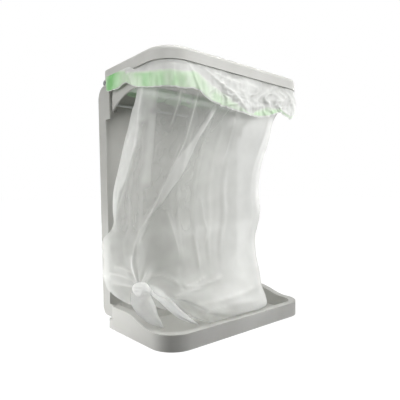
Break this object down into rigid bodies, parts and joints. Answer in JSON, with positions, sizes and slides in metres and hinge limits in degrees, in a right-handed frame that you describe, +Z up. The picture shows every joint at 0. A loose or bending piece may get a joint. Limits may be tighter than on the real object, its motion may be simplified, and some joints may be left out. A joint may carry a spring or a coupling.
{
  "type": "waste bag holder",
  "caption": "Free-standing holder for a plastic waste bag: a back panel in a base tray carries a hoop, and a hinged cover ring clamps the bag's folded mouth over it.",
  "frame": {"origin": "middle of the footprint, on the surface that the tray stands on", "axes": "+Z up, the open front faces -Y and the back panel is at +Y, +X to the right seen from the front"},
  "size_m": [0.3736, 0.225, 0.5],
  "materials": {
    "shell": "light warm grey moulded polypropylene, fine matt grain",
    "pin": "grey moulded plastic, satin",
    "rod": "zinc plated steel, satin",
    "film": "thin translucent white polyethylene film, creased",
    "tape": "thin translucent green polyethylene tape"
  },
  "bodies": {
    "stand": {"back_panel": "shell", "base_tray": "shell", "bag_frame": "shell", "hinge_pin_left": "pin", "hinge_pin_right": "pin", "cross_rod": "rod", "tray_screws": "rod", "bag_liner": "film", "draw_tape": "tape", "tie_strip": "film"},
    "cover": {"cover_ring": "shell"}
  },
  "joints": [
    {"name": "cover_hinge", "type": "hinge", "parent": "stand", "child": "cover", "pos_m": [0, 0.084, 0.472], "axis": [-1, 0, 0], "range_deg": [0, 95]}
  ]
}
